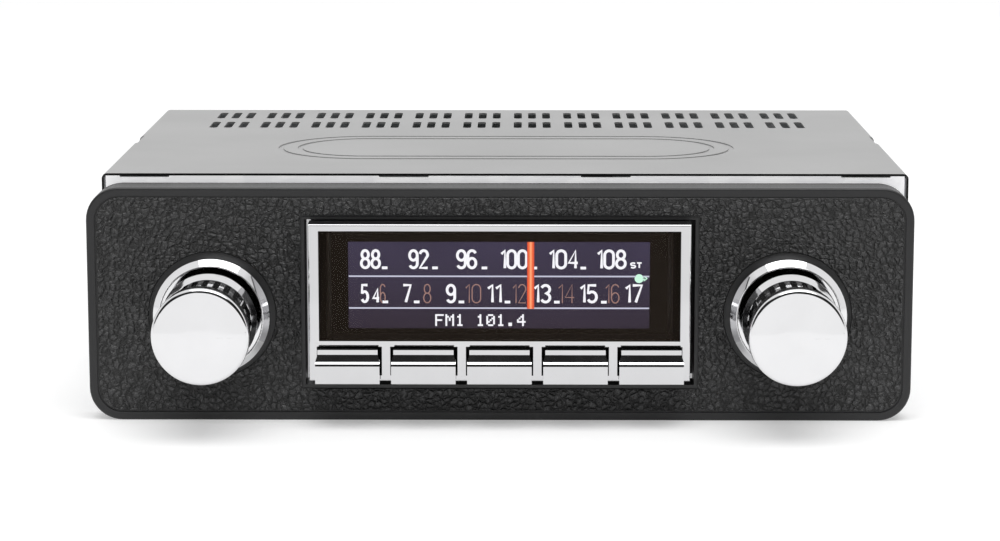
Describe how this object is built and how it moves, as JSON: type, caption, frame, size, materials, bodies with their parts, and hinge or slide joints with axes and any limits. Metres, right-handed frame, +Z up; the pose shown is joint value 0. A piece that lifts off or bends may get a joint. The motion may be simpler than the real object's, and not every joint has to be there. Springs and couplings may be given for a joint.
{
  "type": "car radio",
  "caption": "Two-shaft car radio with a leather-grained face plate, lit tuning-scale display, chrome push buttons and chrome-capped push-and-turn knobs on a steel case.",
  "frame": {"origin": "middle of the whole radio's box, at the height of the face plate's lower edge", "axes": "+X to the right seen from the front, +Y from the face plate to the back, +Z up"},
  "size_m": [0.18, 0.172, 0.053],
  "materials": {
    "black_textured_plastic": "leather-grained",
    "black_plastic": "moulded",
    "white_plastic": "moulded",
    "zinc_steel": "zinc-plated",
    "satin_steel": "satin grey",
    "screw_steel": "zinc-plated",
    "chrome": "polished",
    "tinted_lens": "tinted, polished",
    "display": "lit",
    "circuit_board": "solder mask",
    "switch_metal": "plain",
    "tin_plate": "tin-plated",
    "ribbon": "ribbed",
    "black_aluminium": "black anodised",
    "fuse_plastic": "translucent",
    "nickel": "nickel-plated",
    "brass": "turned",
    "shaft_steel": "turned",
    "spring_steel": "drawn wire",
    "capacitor_sleeve": "shrink sleeve"
  },
  "bodies": {
    "case": {"amplifier_chip": "black_plastic", "antenna_socket": "nickel", "backlight_unit": "white_plastic", "blade_fuse": "fuse_plastic", "board_chips": "black_plastic", "board_screws": "screw_steel", "capacitors": "capacitor_sleeve", "chassis_tray": "zinc_steel", "chrome_bezel": "chrome", "cover_screws": "screw_steel", "display_lens": "tinted_lens", "encoder_covers": "switch_metal", "encoder_housings": "switch_metal", "face_plate": "black_textured_plastic", "front_board": "circuit_board", "front_board_screws": "screw_steel", "front_panel": "zinc_steel", "harness_pins": "tin_plate", "harness_socket": "black_plastic", "heat_sink": "black_aluminium", "lcd_panel": "display", "main_board": "circuit_board", "nose_housing": "black_plastic", "panel_nuts": "screw_steel", "plate_nuts": "screw_steel", "preset_spring_1": "spring_steel", "preset_spring_2": "spring_steel", "preset_spring_3": "spring_steel", "preset_spring_4": "spring_steel", "preset_spring_5": "spring_steel", "rca_barrels": "nickel", "rca_block": "black_plastic", "rear_panel": "zinc_steel", "ribbon_cable": "ribbon", "shaft_washers": "screw_steel", "support_stud": "screw_steel", "tact_switches": "switch_metal", "top_cover": "satin_steel", "tuner_can": "tin_plate", "tuning_push_spring": "spring_steel", "volume_push_spring": "spring_steel"},
    "volume_push": {"volume_push_plunger": "white_plastic"},
    "volume_knob_group": {"volume_inner_shaft": "shaft_steel", "volume_knob": "chrome", "volume_knob_cap": "chrome", "volume_knob_clip": "spring_steel"},
    "volume_ring_group": {"volume_outer_shaft": "brass", "volume_rear_ring": "chrome"},
    "tuning_push": {"tuning_push_plunger": "white_plastic"},
    "tuning_knob_group": {"tuning_inner_shaft": "shaft_steel", "tuning_knob": "chrome", "tuning_knob_cap": "chrome", "tuning_knob_clip": "spring_steel"},
    "tuning_ring_group": {"tuning_outer_shaft": "brass", "tuning_rear_ring": "chrome"},
    "preset_1": {"preset_button_1": "chrome"},
    "preset_2": {"preset_button_2": "chrome"},
    "preset_3": {"preset_button_3": "chrome"},
    "preset_4": {"preset_button_4": "chrome"},
    "preset_5": {"preset_button_5": "chrome"}
  },
  "joints": [
    {"name": "volume_push_in", "type": "slide", "parent": "case", "child": "volume_push", "axis": [0, 1, 0], "range_m": [0, 0.001], "stiffness_N_per_m": 800, "springref_m": -0.0015, "deforming": ["volume_push_spring"]},
    {"name": "volume_turn", "type": "hinge", "parent": "volume_push", "child": "volume_knob_group", "pos_m": [-0.06275, 0, 0.0235], "axis": [0, 1, 0], "continuous": true},
    {"name": "volume_ring_turn", "type": "hinge", "parent": "case", "child": "volume_ring_group", "pos_m": [-0.06275, 0, 0.0235], "axis": [0, 1, 0], "range_deg": [-135, 135]},
    {"name": "tuning_push_in", "type": "slide", "parent": "case", "child": "tuning_push", "axis": [0, 1, 0], "range_m": [0, 0.001], "stiffness_N_per_m": 800, "springref_m": -0.0015, "deforming": ["tuning_push_spring"]},
    {"name": "tuning_turn", "type": "hinge", "parent": "tuning_push", "child": "tuning_knob_group", "pos_m": [0.06275, 0, 0.0235], "axis": [0, 1, 0], "continuous": true},
    {"name": "tuning_ring_turn", "type": "hinge", "parent": "case", "child": "tuning_ring_group", "pos_m": [0.06275, 0, 0.0235], "axis": [0, 1, 0], "range_deg": [-135, 135]},
    {"name": "preset_1_press", "type": "slide", "parent": "case", "child": "preset_1", "axis": [0, 1, 0], "range_m": [0, 0.0012], "stiffness_N_per_m": 300, "springref_m": -0.002, "deforming": ["preset_spring_1"]},
    {"name": "preset_2_press", "type": "slide", "parent": "case", "child": "preset_2", "axis": [0, 1, 0], "range_m": [0, 0.0012], "stiffness_N_per_m": 300, "springref_m": -0.002, "deforming": ["preset_spring_2"]},
    {"name": "preset_3_press", "type": "slide", "parent": "case", "child": "preset_3", "axis": [0, 1, 0], "range_m": [0, 0.0012], "stiffness_N_per_m": 300, "springref_m": -0.002, "deforming": ["preset_spring_3"]},
    {"name": "preset_4_press", "type": "slide", "parent": "case", "child": "preset_4", "axis": [0, 1, 0], "range_m": [0, 0.0012], "stiffness_N_per_m": 300, "springref_m": -0.002, "deforming": ["preset_spring_4"]},
    {"name": "preset_5_press", "type": "slide", "parent": "case", "child": "preset_5", "axis": [0, 1, 0], "range_m": [0, 0.0012], "stiffness_N_per_m": 300, "springref_m": -0.002, "deforming": ["preset_spring_5"]}
  ]
}
